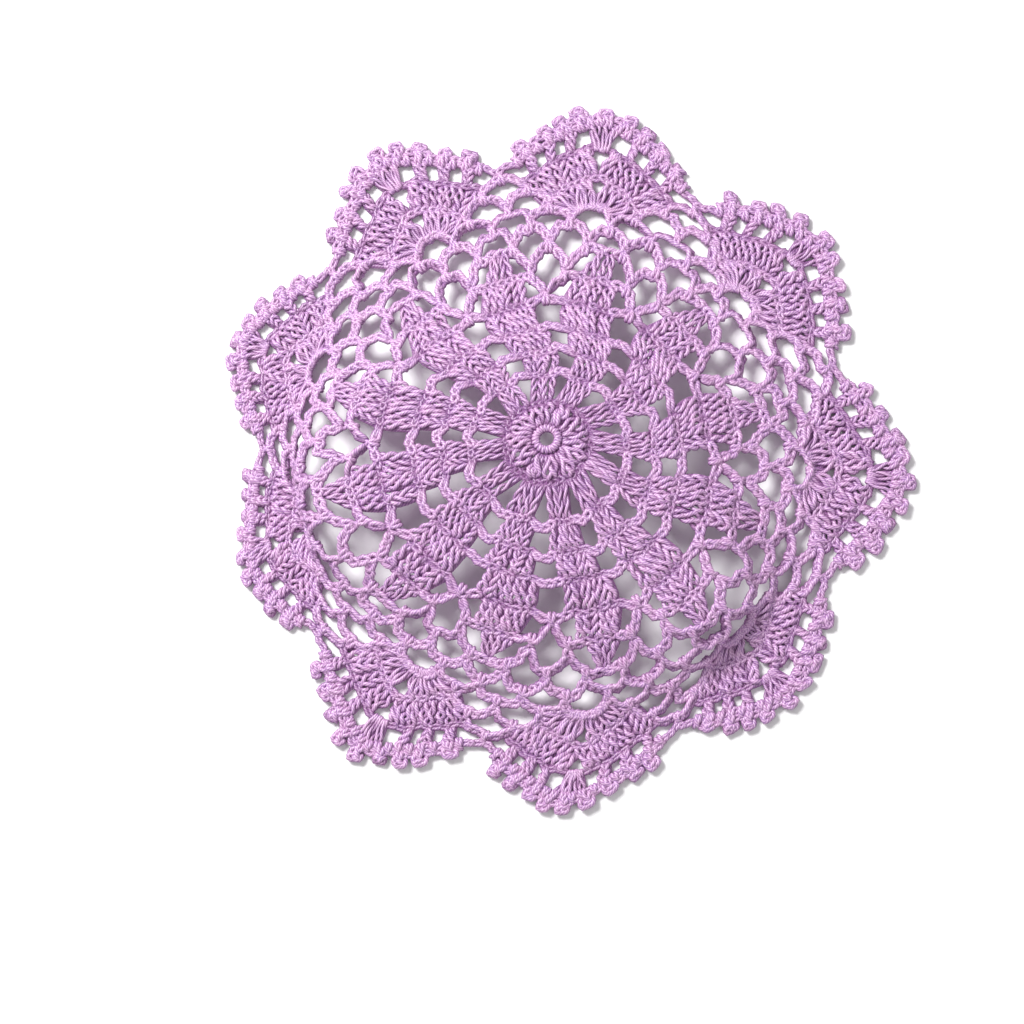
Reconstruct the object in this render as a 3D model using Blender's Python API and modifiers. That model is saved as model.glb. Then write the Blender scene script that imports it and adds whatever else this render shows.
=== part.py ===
"""Round crocheted lace doily with nine scalloped lobes, laid out on a flat surface.

One thread makes the whole doily, so it is one solid: a thin sheet with every large gap of the
lace cut through. The flat chart comes first, in millimetres round the centre ring. The sheet
is then draped: a low, uneven mound whose lobes lie flat, steep on two sides and gentle
elsewhere. +X and +Y span the surface, +Z is up.
"""

import math
from collections import namedtuple

import bmesh
import bpy
from mathutils import Vector
from mathutils.geometry import delaunay_2d_cdt

MM = 0.001
CLEAN_DISTANCE = 1e-6

# ---------------------------------------------------------------- driving sizes, millimetres
FABRIC = 2.0          # thickness of the crocheted cloth
LEAF_COUNT = 12       # solid leaves that fan out from the ring
LOBE_COUNT = 9        # scalloped lobes round the rim
LOOP_COUNT = 36       # chain loops in each round of netting
RING_HOLE = 2.1       # radius of the hole in the centre ring
RING_CORNERS = 8

LEAF_STEP = 360.0 / LEAF_COUNT
LOBE_STEP = 360.0 / LOBE_COUNT

# ---------------------------------------------------------------- gaps in rings round the centre
# A row makes `count` gaps: the first on heading `first` (degrees), each at `radius`, with
# `half_width` across and `half_height` outwards. A tall gap has a corner at top and bottom,
# a wide one has its corners at the sides.
GapRow = namedtuple("GapRow", "name count first radius half_width half_height tall")
GAPS = (
    GapRow("second round", LEAF_COUNT, 0.0, 18.0, 1.5, 2.8, True),
    GapRow("third round", LEAF_COUNT, 0.0, 25.8, 2.1, 2.7, True),
    GapRow("fourth round", LEAF_COUNT, 0.0, 33.4, 2.6, 2.8, True),
    GapRow("fifth round", LEAF_COUNT, 0.0, 42.2, 3.3, 3.3, True),
    GapRow("forked chain, one side", LEAF_COUNT, -5.0, 50.2, 1.7, 2.3, True),
    GapRow("forked chain, other side", LEAF_COUNT, 5.0, 50.2, 1.7, 2.3, True),
    GapRow("seventh round", LEAF_COUNT, 0.0, 55.9, 2.9, 3.2, True),
    GapRow("beside the leaf point", LEAF_COUNT, -9.2, 57.7, 1.5, 2.3, True),
    GapRow("past the leaf point", LEAF_COUNT, 9.2, 57.7, 1.5, 2.3, True),
    GapRow("inner netting", LOOP_COUNT, 5.0, 63.0, 3.2, 1.9, False),
    GapRow("outer netting, before a lobe", LOBE_COUNT, -10.0, 67.8, 3.4, 1.4, False),
    GapRow("outer netting, after a lobe", LOBE_COUNT, 10.0, 67.8, 3.4, 1.4, False),
    GapRow("outer netting, between lobes", LOBE_COUNT, 20.0, 67.8, 3.4, 1.7, False),
    GapRow("foot of a lobe", LOBE_COUNT, 0.0, 68.8, 4.0, 2.4, False),
    GapRow("tenth round, after a lobe", LOBE_COUNT, 15.0, 73.2, 3.5, 1.7, False),
    GapRow("tenth round, before a lobe", LOBE_COUNT, 25.0, 73.2, 3.5, 1.7, False),
    GapRow("eleventh round", LOBE_COUNT, 20.0, 77.8, 3.8, 1.6, False),
)
TALL_SHOULDER = 0.6   # where a tall gap's side corners stand, as a share of its half height
WIDE_SHOULDER = 0.5   # the same for a wide gap's upper and lower corners, across it

# ---------------------------------------------------------------- arches of a lobe
# Every row of a lobe is an arch over the lobe's foot, which lies LOBE_FOOT from the centre.
# `span` is half its width, `end` and `top` its heights above the foot at the ends and middle.
Arch = namedtuple("Arch", "span end top")
LOBE_FOOT = 69.2
ARCH_POWER = 1.5      # 1 would be a pointed arch, 2 a round one
FIRST_ROW = Arch(span=13.7, end=1.8, top=12.1)
SECOND_ROW = Arch(span=21.5, end=7.6, top=21.2)
THIRD_ROW = Arch(span=25.0, end=11.0, top=28.3)
EDGE = Arch(span=25.8, end=12.9, top=30.8)

# Gaps between the posts of the third row: their places along the row, from the middle (0)
# to its end (1), on both sides.
POST_GAPS = (0.27, 0.505, 0.725, 0.955)
POST_GAP_HALF_WIDTH = 1.6
POST_GAP_HALF_HEIGHT = 1.9

# Picot knots of the edge: their places along the edge arch, and how far they stand out.
Picot = namedtuple("Picot", "place rise")
PICOTS = (
    Picot(0.0, 4.3),
    Picot(0.23, 4.2),
    Picot(0.44, 4.2),
    Picot(0.64, 4.2),
    Picot(0.84, 4.0),
)
PICOT_SHOULDER = 2.1  # half the width of a knot at its shoulder
PICOT_CROWN = 1.0     # half the width of its rounded top
PICOT_WAIST = 0.35    # height of the shoulder, as a share of the knot's rise
VALLEY_RADIUS = 84.8  # where two lobes meet
VALLEY_SIDE_TURN = 2.6    # degrees from there to a point of the chain up to the lobe's first knot
VALLEY_SIDE_RADIUS = 85.6

# ---------------------------------------------------------------- how the cloth lies
CROWN = 15.0          # height of the underside at the ring
CROWN_POWER = 1.5     # how quickly it falls away from the ring to the brow
SLIP = (-1.0, 3.0)    # the ring has been pushed this far off the middle
SLIP_END = 32.0       # and the rounds past this radius have not

# One row for each direction, every LOBE_STEP degrees from the +X side round towards +Y.
# turn_* is how many degrees the cloth there is twisted round, and give_* how far it is
# stretched, at the leaves, netting and edge. The cloth falls from `shoulder` high at radius
# `brow` to the surface at radius `foot`: close together they make a steep fold.
Lie = namedtuple("Lie", "turn_heart turn_leaf turn_net turn_edge give_leaf give_net give_edge "
                        "brow foot shoulder")
LIES = (
    Lie(-13, -4, -3, -4.5, 0.94, 1.01, 0.975, 20, 84, 13.0),
    Lie(-13.5, -0.5, 0.5, 0, 0.94, 1.03, 0.99, 20, 82, 12.5),
    Lie(-9, 2, 1, 1.5, 0.955, 1.08, 1.055, 20, 82, 12.5),
    Lie(-8, 1, -2, -1, 0.96, 1.08, 1.065, 24, 80, 12.5),
    Lie(-6.5, -2.5, -3.2, -3, 1.04, 1.08, 0.99, 44, 80, 11.5),
    Lie(-12, -5.5, -5, -4, 1.01, 1.08, 0.945, 60, 76, 10.5),
    Lie(-8.5, -3.5, -3.5, -4, 0.94, 0.985, 0.97, 30, 84, 12.5),
    Lie(-5, 1, -2.5, -9, 0.97, 1.025, 0.96, 34, 84, 12.5),
    Lie(-9, -3.5, -4, -7.5, 1.02, 1.04, 0.955, 58, 78, 11.5),
)
RING_RADIUS = 12.0    # the cloth inside this radius is never stretched
HEART_RADIUS = 26.0
LEAF_RADIUS = 43.0
NET_RADIUS = 68.0
EDGE_RADIUS = 103.0
WALK_STEP = 1.5       # step of the walk along the cloth that finds how far out a point lies

# Points inside the solid parts of the cloth, so that they bend with the mound: for each stitch
# row of a leaf its radius and how many points lie across it, LEAF_RIB_SPREAD apart.
LEAF_RIBS = ((14.0, 1), (21.5, 2), (29.3, 3), (37.0, 4), (46.2, 4), (53.5, 3))
LEAF_RIB_SPREAD = 3.0
RING_RIB_RADIUS = 9.0
ARCH_RIB_POINTS = 5

THREAD_COLOUR = (0.60, 0.33, 0.66, 1.0)
THREAD_ROUGHNESS = 0.55


def flat_point(radius, heading):
    """A point of the flat chart, from its radius and its heading in degrees."""
    angle = math.radians(heading)
    return Vector((radius * math.cos(angle), radius * math.sin(angle)))


def lobe_point(lobe, across, above):
    """A point of the flat chart, from its place across a lobe and above the lobe's foot."""
    heading = math.radians(lobe * LOBE_STEP)
    outwards = Vector((math.cos(heading), math.sin(heading)))
    sideways = Vector((-outwards.y, outwards.x))
    return outwards * (LOBE_FOOT + above) + sideways * across


def arch_point(arch, place):
    """Place across and above on an arch, for a place from -1 (one end) to 1 (the other)."""
    rise = (arch.top - arch.end) * (1.0 - abs(place) ** ARCH_POWER)
    return Vector((arch.span * place, arch.end + rise))


def arch_normal(arch, place):
    """The direction that points straight out of an arch at a place along it."""
    fall = (arch.top - arch.end) * ARCH_POWER * abs(place) ** (ARCH_POWER - 1.0)
    slope = math.copysign(fall, place) / arch.span
    return Vector((slope, 1.0)).normalized()


def ring_gaps():
    """The gaps of every round: lists of flat corners, counter-clockwise."""
    turn = 360.0 / RING_CORNERS
    gaps = [[flat_point(RING_HOLE, corner * turn) for corner in range(RING_CORNERS)]]
    for row in GAPS:
        if row.tall:
            side = row.half_height * TALL_SHOULDER
            corners = ((row.half_height, 0.0), (side, row.half_width), (-side, row.half_width),
                       (-row.half_height, 0.0), (-side, -row.half_width), (side, -row.half_width))
        else:
            side = row.half_width * WIDE_SHOULDER
            corners = ((row.half_height, side), (0.0, row.half_width), (-row.half_height, side),
                       (-row.half_height, -side), (0.0, -row.half_width), (row.half_height, -side))
        for index in range(row.count):
            heading = row.first + index * 360.0 / row.count
            gaps.append([flat_point(row.radius + out, heading + math.degrees(side / row.radius))
                         for out, side in corners])
    return gaps


def post_gaps():
    """The gaps between the posts in the third row of every lobe."""
    gaps = []
    for lobe in range(LOBE_COUNT):
        for place in [-p for p in reversed(POST_GAPS)] + list(POST_GAPS):
            inner = arch_point(SECOND_ROW, place)
            outer = arch_point(THIRD_ROW, place)
            middle = (inner + outer) / 2.0
            up = (outer - inner).normalized()
            side = Vector((-up.y, up.x))
            corners = []
            for corner in range(6):
                angle = math.radians(90.0 + corner * 60.0)
                offset = (up * (POST_GAP_HALF_HEIGHT * math.sin(angle))
                          + side * (POST_GAP_HALF_WIDTH * math.cos(angle) / math.cos(math.pi / 6)))
                corners.append(lobe_point(lobe, *(middle + offset)))
            gaps.append(corners)
    return gaps


def outline():
    """The doily's edge: nine lobes of picot knots, with a valley between each pair."""
    knots = [Picot(-knot.place, knot.rise) for knot in reversed(PICOTS[1:])] + list(PICOTS)
    points = []
    for lobe in range(LOBE_COUNT):
        middle = lobe * LOBE_STEP
        valley = middle - LOBE_STEP / 2.0
        points.append(flat_point(VALLEY_RADIUS, valley))
        points.append(flat_point(VALLEY_SIDE_RADIUS, valley + VALLEY_SIDE_TURN))
        for index, knot in enumerate(knots):
            if index:
                between = (knots[index - 1].place + knot.place) / 2.0
                points.append(lobe_point(lobe, *arch_point(EDGE, between)))
            foot = arch_point(EDGE, knot.place)
            up = arch_normal(EDGE, knot.place)
            side = Vector((up.y, -up.x))
            waist = knot.rise * PICOT_WAIST
            for across, rise in ((-PICOT_SHOULDER, waist), (-PICOT_CROWN, knot.rise),
                                 (PICOT_CROWN, knot.rise), (PICOT_SHOULDER, waist)):
                points.append(lobe_point(lobe, *(foot + side * across + up * rise)))
        points.append(flat_point(VALLEY_SIDE_RADIUS, middle + LOBE_STEP / 2.0 - VALLEY_SIDE_TURN))
    return points


def ribs():
    """Extra points along the stitch rows of the leaves and of the first two lobe rows."""
    points = []
    for leaf in range(LEAF_COUNT):
        heading = (leaf + 0.5) * LEAF_STEP
        points.append(flat_point(RING_RIB_RADIUS, heading))
        for radius, count in LEAF_RIBS:
            for index in range(count):
                side = (index - (count - 1) / 2.0) * LEAF_RIB_SPREAD
                points.append(flat_point(radius, heading + math.degrees(side / radius)))
    for lobe in range(LOBE_COUNT):
        for arch in (FIRST_ROW, SECOND_ROW):
            for index in range(ARCH_RIB_POINTS):
                place = 2.0 * (index + 1) / (ARCH_RIB_POINTS + 1) - 1.0
                points.append(lobe_point(lobe, *arch_point(arch, place)))
    return points


def flat_chart():
    """The flat lace as triangles: chart points in millimetres and corner indices."""
    rings = [outline()] + ring_gaps() + post_gaps()
    points = []
    faces = []
    for ring in rings:
        faces.append(list(range(len(points), len(points) + len(ring))))
        points.extend(ring)
    points.extend(ribs())
    places, _, triangles, _, _, sources = delaunay_2d_cdt(points, [], faces, 0, CLEAN_DISTANCE)
    cloth = [corners for corners, source in zip(triangles, sources) if source == [0]]
    return places, cloth


def smooth_step(start, end, value):
    """0 before start, 1 after end, and an even curve between them."""
    share = min(max((value - start) / (end - start), 0.0), 1.0)
    return share * share * (3.0 - 2.0 * share)


def blend_stops(stops, value):
    """Straight blend between (place, amount) stops in rising order."""
    for (start, low), (end, high) in zip(stops, stops[1:]):
        if value <= end:
            return low + (high - low) * (value - start) / (end - start)
    return stops[-1][1]


def lie_at(heading):
    """The lie of the cloth in any direction: a smooth curve through the rows of LIES."""
    position = (heading % 360.0) / LOBE_STEP
    row = int(position)
    share = position - row
    before, start, end, after = (LIES[(row + step) % LOBE_COUNT] for step in (-1, 0, 1, 2))
    values = []
    for a, b, c, d in zip(before, start, end, after):
        linear = c - a
        square = 2.0 * a - 5.0 * b + 4.0 * c - d
        cube = 3.0 * b - a - 3.0 * c + d
        values.append(b + 0.5 * share * (linear + share * (square + share * cube)))
    return Lie(*values)


def height(lie, radius):
    """Height of the underside above the surface, at a radius measured along the cloth."""
    if radius < lie.brow:
        return CROWN - (CROWN - lie.shoulder) * (radius / lie.brow) ** CROWN_POWER
    if radius < lie.foot:
        share = (radius - lie.brow) / (lie.foot - lie.brow)
        return lie.shoulder * (1.0 + math.cos(math.pi * share)) / 2.0
    return 0.0


def reach(lie, radius):
    """How far out a point lies once the cloth runs down its slope, and its height there."""
    steps = max(2, round(radius / WALK_STEP))
    step = radius / steps
    out = 0.0
    last = height(lie, 0.0)
    for index in range(steps):
        level = height(lie, (index + 1) * step)
        out += math.sqrt(max(step * step - (level - last) ** 2, 0.0))
        last = level
    return out, last


def drape(point):
    """The place in space, in millimetres round the ring, of a point of the flat chart."""
    radius = point.length
    heading = math.degrees(math.atan2(point.y, point.x))
    lie = lie_at(heading)
    out, level = reach(lie, radius)
    turn = blend_stops(((0.0, lie.turn_heart), (HEART_RADIUS, lie.turn_heart),
                        (LEAF_RADIUS, lie.turn_leaf), (NET_RADIUS, lie.turn_net),
                        (EDGE_RADIUS, lie.turn_edge)), radius)
    give = blend_stops(((0.0, 1.0), (RING_RADIUS, 1.0), (LEAF_RADIUS, lie.give_leaf),
                        (NET_RADIUS, lie.give_net), (EDGE_RADIUS, lie.give_edge)), radius)
    angle = math.radians(heading + turn)
    slip = 1.0 - smooth_step(0.0, SLIP_END, radius)
    return Vector((out * give * math.cos(angle) + SLIP[0] * slip,
                   out * give * math.sin(angle) + SLIP[1] * slip,
                   level))


def thread_material():
    """Soft lilac cotton."""
    material = bpy.data.materials.new("lilac_cotton")
    material.use_nodes = True
    shader = material.node_tree.nodes["Principled BSDF"]
    shader.inputs["Base Color"].default_value = THREAD_COLOUR
    shader.inputs["Roughness"].default_value = THREAD_ROUGHNESS
    shader.inputs["Metallic"].default_value = 0.0
    return material


def build_doily(collection):
    """The whole doily as one closed sheet, its box centred over the origin."""
    flat, triangles = flat_chart()
    places = [drape(point) for point in flat]
    middle_x = (min(p.x for p in places) + max(p.x for p in places)) / 2.0
    middle_y = (min(p.y for p in places) + max(p.y for p in places)) / 2.0

    sheet = bmesh.new()
    corners = [sheet.verts.new(((p.x - middle_x) * MM, (p.y - middle_y) * MM, p.z * MM))
               for p in places]
    for triangle in triangles:
        sheet.faces.new([corners[index] for index in triangle])
    loose = [vertex for vertex in sheet.verts if not vertex.link_faces]
    bmesh.ops.delete(sheet, geom=loose, context="VERTS")
    mesh = bpy.data.meshes.new("doily")
    sheet.to_mesh(mesh)
    sheet.free()
    mesh.materials.append(thread_material())
    mesh.shade_smooth()

    doily = bpy.data.objects.new("doily", mesh)
    collection.objects.link(doily)
    thickness = doily.modifiers.new("fabric thickness", "SOLIDIFY")
    thickness.thickness = FABRIC * MM
    thickness.offset = 1.0
    thickness.use_even_offset = False
    return doily


def main():
    """Clear the scene and build the doily in its own collection."""
    for old in list(bpy.data.objects):
        bpy.data.objects.remove(old, do_unlink=True)
    collection = bpy.data.collections.new("lace_doily")
    bpy.context.scene.collection.children.link(collection)
    build_doily(collection)


main()
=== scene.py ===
"""Looks of a round crocheted lace doily with nine lobes, laid out on a surface.

Every stitch is made of its own loops of thread. A stitch is first drawn in the flat chart of
the lace, in millimetres: two numbers across the cloth and one, `rise`, above its middle. The
chart is then draped over the low mound that the doily makes.
"""

import math
from collections import namedtuple

import bpy
import numpy as np
from bpy.props import FloatProperty, FloatVectorProperty, IntProperty, PointerProperty
from bpy.types import Operator, Panel, PropertyGroup
from mathutils import Matrix, Vector


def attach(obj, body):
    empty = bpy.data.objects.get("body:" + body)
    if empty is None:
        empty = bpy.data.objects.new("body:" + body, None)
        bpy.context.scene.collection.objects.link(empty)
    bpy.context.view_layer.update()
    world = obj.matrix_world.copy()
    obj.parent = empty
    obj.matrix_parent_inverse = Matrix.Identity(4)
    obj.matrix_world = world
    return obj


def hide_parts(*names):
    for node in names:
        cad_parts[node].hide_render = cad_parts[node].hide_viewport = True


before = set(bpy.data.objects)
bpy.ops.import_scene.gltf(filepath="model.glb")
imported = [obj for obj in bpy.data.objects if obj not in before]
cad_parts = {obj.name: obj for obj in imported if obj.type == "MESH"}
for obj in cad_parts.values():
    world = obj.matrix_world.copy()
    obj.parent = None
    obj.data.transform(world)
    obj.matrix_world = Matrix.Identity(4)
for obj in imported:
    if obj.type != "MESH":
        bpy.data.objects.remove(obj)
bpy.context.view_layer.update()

bl_info = {
    "name": "Lace doily",
    "version": (1, 0, 0),
    "blender": (4, 5, 0),
    "location": "3D View > Sidebar > Doily",
    "description": "Crochets a round lace doily with nine lobes, thread by thread",
    "category": "Object",
}

BODY = "root"
NODE = "doily"
MM = 0.001

# ---------------------------------------------------------------- the chart of the lace
LEAF_COUNT = 12
LOBE_COUNT = 9
LOOP_COUNT = 36
LEAF_STEP = 360.0 / LEAF_COUNT
LOBE_STEP = 360.0 / LOBE_COUNT
LOOP_STEP = 360.0 / LOOP_COUNT
HALF_LOOP = LOOP_STEP / 2.0

# The ring: the middle of its roll of thread, how thick the roll is, and its windings.
RING_RADIUS = 3.0
RING_ROLL = 0.66
RING_WINDS = 21
WIND_POINTS = 10          # places along one winding

# First round: two stitches for each leaf.
FIRST_FOOT = 3.7
FIRST_HEAD = 11.3
FIRST_FOOT_TURN = 7.5     # degrees from the leaf's middle to a stitch's foot
FIRST_HEAD_TURN = 5.4     # and to its head
FIRST_STRAY = 2.0         # degrees that a stitch strays
FIRST_PITCH = (1.45, 2.9)  # how far apart the stitches' feet and heads seem to stand
FIRST_TURNS = 1.0         # how often their strands go round each other
FIRST_LEAN = 0.4          # they lean less than the others
FIRST_KNOTS = (-10.0, 0.0, 10.0)  # places of the braid's knots over a leaf, in degrees
FIRST_SINK = 0.6          # how deep that braid lies

# A round of solid leaves: radii of the stitches' feet and heads, half the leaf's width there,
# stitches in one leaf, and chain links between two leaves.
LeafRound = namedtuple("LeafRound", "foot head half_foot half_head stitches links")
LEAF_ROUNDS = (
    LeafRound(11.4, 21.4, 3.0, 3.0, 4, 3),
    LeafRound(21.4, 29.2, 3.5, 4.8, 5, 3),
    LeafRound(29.2, 36.9, 4.9, 6.4, 6, 3),
    LeafRound(36.9, 46.1, 6.4, 7.7, 7, 3),
    LeafRound(46.1, 53.4, 7.1, 6.0, 6, 0),
    LeafRound(53.4, 61.0, 5.2, 1.3, 4, 0),
)
GAP_BOW = (0.6, 1.8)      # how far the chains between two leaves bow outwards
GAP_SINK = 0.10           # and how deep they lie
ROW_SINK = (0.12, 0.48)   # how deep the braid lies over the heads of a leaf's row
LAST_ROW_SINK = 0.12      # the same for the sixth round
ROW_OUT = 0.1             # a braid lies this far outside the heads that it covers
POINT_OUT = 0.2           # and the link over a leaf's point this far
POINT_TURNS = (-1.3, 0.0, 1.3)  # places of that link, in degrees
HEAD_POINTS = 20

# The chains of the netting are worked loosely: wider, of fuller thread, and rolled either way.
NET_WIDTH = 1.10
NET_GIRTH = 1.20
NET_ROLL = 24.0
CHAIN_WANDER = 1.5        # knots of a chain stray this much more than stitches do

# A round of netting: radii of the short stitch that it starts on, of its chains' ends and of
# their crests. The arms are the chains between two leaves.
NetRound = namedtuple("NetRound", "anchor foot crest")
ARM_FORK = NetRound(46.9, 48.8, 52.8)
ARM_LOOP = NetRound(52.9, 55.2, 60.2)
INNER_NET = NetRound(60.4, 62.3, 65.9)
OUTER_NET = NetRound(65.9, 67.6, 70.2)
TENTH_ROUND = NetRound(70.2, 72.0, 76.2)
LAST_ROUND = NetRound(76.2, 77.8, 80.9)
FORK_START = 0.8          # degrees from the middle of the gap to an arm's start
FORK_END = (53.5, 8.6)    # radius and degrees of its end on a leaf
POINT_END = (60.9, 13.8)  # the same for the arm that ends on a leaf's point
ARM_FULLNESS = 1.8        # 2 would be a round loop, more a fuller one
LOOP_FULLNESS = 3.6
NET_POINTS = 60

# Lobes: arches over the lobe's foot, LOBE_FOOT from the middle. `span` is half an arch's width,
# `end` and `top` its heights above the foot at the ends and in the middle.
Arch = namedtuple("Arch", "span end top")
LOBE_FOOT = 69.2
ARCH_POWER = 1.5          # 1 would be a pointed arch, 2 a round one
ARCH_POINTS = 240
ARCH_STEP = 0.01          # places this far to both sides give an arch's direction
FIRST_ROW = Arch(span=13.7, end=1.8, top=12.1)
SECOND_ROW = Arch(span=21.5, end=7.6, top=21.2)
THIRD_ROW = Arch(span=25.2, end=11.2, top=28.6)
EDGE = Arch(span=25.8, end=12.9, top=30.8)
FAN_FOOT = (5.0, 3.1)     # half width and height of the arch that the fan's feet stand on
FAN_FOOT_DROP = 0.3       # and how far that arch lies under the lobe's foot
FAN_FOOT_PITCH = 1.0      # how far apart the feet seem to stand
FAN_LOOP_CREST = 71.9     # radius of the crest of the chain loop that the fan is worked over
FAN_TURN = 80.0           # degrees to each side that the feet are spread over
FAN_STITCHES = 7          # stitches on each side of the first row
FAN_TURNS = 0.8           # and how often their strands go round each other
FIRST_ROW_SINK = 0.1      # how deep the chain over them lies
SHELL_STITCHES = 9        # stitches on each side of the second row
SECOND_ROW_SINK = 0.35
SPLAY = 2.7               # the two middle stitches of a row bow this far out of their way
EYE_PLACE = 0.80          # and most at this height, which leaves an eye under the braid
EYE_SPREAD = 0.24
EYE_LEAN = 0.2            # they lean less than the others
TIP_STITCHES = 5          # stitches fanned out at the middle of the third row
TIP_SPAN = 0.3            # they lie between these places of the arch
TIP_REACH = 5.2           # half the width of their heads
TIP_FOOT_STEP = 0.9       # their feet stand this far apart
TIP_FOOT_DROP = 0.2
TIP_PITCH = (1.0, 1.8)
ROW_WIDTH = 0.80          # the chains on both sides of the posts are this much narrower
THIRD_ROW_SINK = 0.1
POST_PLACES = (0.39, 0.615, 0.84)
POST_FEET = 0.48          # each post is two stitches, this far to each side at their feet
POST_HEADS = 0.66         # and at their heads
POST_PITCH = (1.6, 1.9)
POST_LEAN = 0.3
EDGE_END = 0.93           # the short stitches of the edge end at this place of the arch
EDGE_SINK = 0.05
SHORT_PITCH = 3.1         # and stand this far apart
VALLEY_RADIUS = 83.6      # the last chain dips to here between two lobes
PICOT_PLACES = (0.0, 0.23, 0.44, 0.64, 0.84)
PICOT_STRAY = 2.0         # picots stray this much more than stitches do
PICOT_RING = (1.20, 1.80)  # half the height and width of the chain ring of a picot
PICOT_SIZES = (0.9, 1.15)  # how unlike in size they are
PICOT_NARROW = 0.35       # how much narrower the ring is at its tip, wider at its foot
PICOT_OPEN = 150.0        # it ends this far round, in degrees, on both sides of its tip
PICOT_POINTS = 25
PICOT_LINKS = 3
PICOT_ROLL = 40.0
PICOT_GIRTH = 1.12
PICOT_STAND = 2.0         # how far its middle stands out from the edge
PICOT_TWIST = 0.7         # how far the thread that closes it turns either way
PICOT_FOOT = 0.3          # the short stitch under it stands this far inside the edge
PICOT_FOOT_SIZE = 1.2

# ---------------------------------------------------------------- how the cloth lies
# The same mound as the solid doily's, in millimetres and degrees.
CHART_ORIGIN = (-3.380, -4.528)
CROWN = 15.0              # height of the cloth at its middle
CROWN_POWER = 1.5         # how the cloth falls from there: 1 a cone, 2 a round dome
SLIP = (-1.0, 3.0)        # the middle has slipped this far, and nothing past SLIP_END
SLIP_END = 32.0

# How it lies in each lobe's direction: turns of its rounds, how much each is drawn out, and
# radii of the mound's brow and foot, with its height at the brow.
Lie = namedtuple("Lie", "turn_heart turn_leaf turn_net turn_edge give_leaf give_net give_edge "
                 "brow foot shoulder")
LIES = (
    Lie(-13, -4, -3, -4.5, 0.94, 1.01, 0.975, 20, 84, 13.0),
    Lie(-13.5, -0.5, 0.5, 0, 0.94, 1.03, 0.99, 20, 82, 12.5),
    Lie(-9, 2, 1, 1.5, 0.955, 1.08, 1.055, 20, 82, 12.5),
    Lie(-8, 1, -2, -1, 0.96, 1.08, 1.065, 24, 80, 12.5),
    Lie(-6.5, -2.5, -3.2, -3, 1.04, 1.08, 0.99, 44, 80, 11.5),
    Lie(-12, -5.5, -5, -4, 1.01, 1.08, 0.945, 60, 76, 10.5),
    Lie(-8.5, -3.5, -3.5, -4, 0.94, 0.985, 0.97, 30, 84, 12.5),
    Lie(-5, 1, -2.5, -9, 0.97, 1.025, 0.96, 34, 84, 12.5),
    Lie(-9, -3.5, -4, -7.5, 1.02, 1.04, 0.955, 58, 78, 11.5),
)
RING_STOP = 12.0          # radii at which the turns and draws hold
HEART_STOP = 26.0
LEAF_STOP = 43.0
NET_STOP = 68.0
EDGE_STOP = 103.0
MID_CLOTH = 1.25          # the middle of the stitches lies this far above the underside
GRID_RADIUS = 112         # the drape is worked out on a round grid of 1 mm outwards
GRID_TURN = 2.0           # by this many degrees

# ---------------------------------------------------------------- the thread
PLIES = 4
END_TAPER = 0.7           # the ends of a strand are this much thinner
UPRIGHT = 0.9             # a strand that starts this steeply is turned by another guide
SHELF_FILL = 0.88         # share of each shelf of the flat map that the thread's strip takes
DYE_SCALE = 330.0         # patches of dye in a metre
DYE_PATCH = (0.38, 0.62)  # the dye between which the flanks go from light to cool
GROOVE_SHADE = (0.0, 0.40)      # heights on a ply, of 1, between which the painted shade of its groove ends
CREST_HIGHLIGHT = (0.42, 0.95)      # and between which the painted highlight on its crest starts
SHADE_REACH = (0.90, 0.05)  # millimetres from the middle of the cloth: no shade, full shade
STREAK_SCALE = (28.0, 3.0, 1.0)  # streaks of fibre round the thread and along one twist
STREAK_STRENGTH = 0.8

# ---------------------------------------------------------------- the stage, in metres
PHOTO_SIZE = 1024         # width and height of the photograph, in its own pixels
FLOOR_HALF = 3.0
WORLD_STRENGTH = 0.46
LIGHTS = (                # name, place, power in watts and width
    ("key", (-0.54, 0.48, 0.80), 15.8, 0.40),
    ("fill", (0.7, -0.5, 0.9), 2.0, 0.8),
)
CAMERA_TARGET = (-0.01522, -0.01798, 0.0)
SENSOR_WIDTH = 36.0       # millimetres
NEAREST = 0.01


# ================================================================ sizes and colours to change
def length_property(name, description, size, least=0.1):
    """A length setting. Its size and least size are in millimetres."""
    return FloatProperty(name=name, description=description, default=size * MM,
                         min=least * MM, unit="LENGTH", precision=5)


def angle_property(name, description, degrees, least=-180.0):
    """An angle setting. It and its least angle are in degrees."""
    return FloatProperty(name=name, description=description, default=math.radians(degrees),
                         min=math.radians(least), subtype="ANGLE")


def colour_property(name, description, value):
    """A colour setting."""
    return FloatVectorProperty(name=name, description=description, default=value, size=3,
                               min=0.0, max=1.0, subtype="COLOR")


class DoilyThread(PropertyGroup):
    """The thread and how tightly it is worked."""
    thickness: length_property("Thickness", "Thickness of the crochet thread", 1.24)
    sides: IntProperty(
        name="Sides", description="Flat sides round the thread", default=6, min=4, max=12)
    step: length_property("Step", "Greatest length of one straight piece of thread", 1.9)
    bend: angle_property("Bend", "Greatest bend from one straight piece to the next", 34.0, 8.0)
    twist: length_property("Twist", "Length in which the plies go once round", 3.6)
    link: length_property("Link", "Length of one chain link", 2.20)
    braid: length_property("Braid width", "Width of a chain of links", 2.85)
    wander: length_property("Wander", "How far stitches stray from their even places", 0.28, 0.0)
    lean: length_property("Lean", "How far the head of a tall stitch leans clockwise", 1.5, 0.0)
    roll: angle_property("Roll", "How far a tall stitch is rolled about its length, either way", 40.0,
                         0.0)
    seed: IntProperty(name="Seed", description="Which uneven pattern of stitches", default=7)


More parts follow.
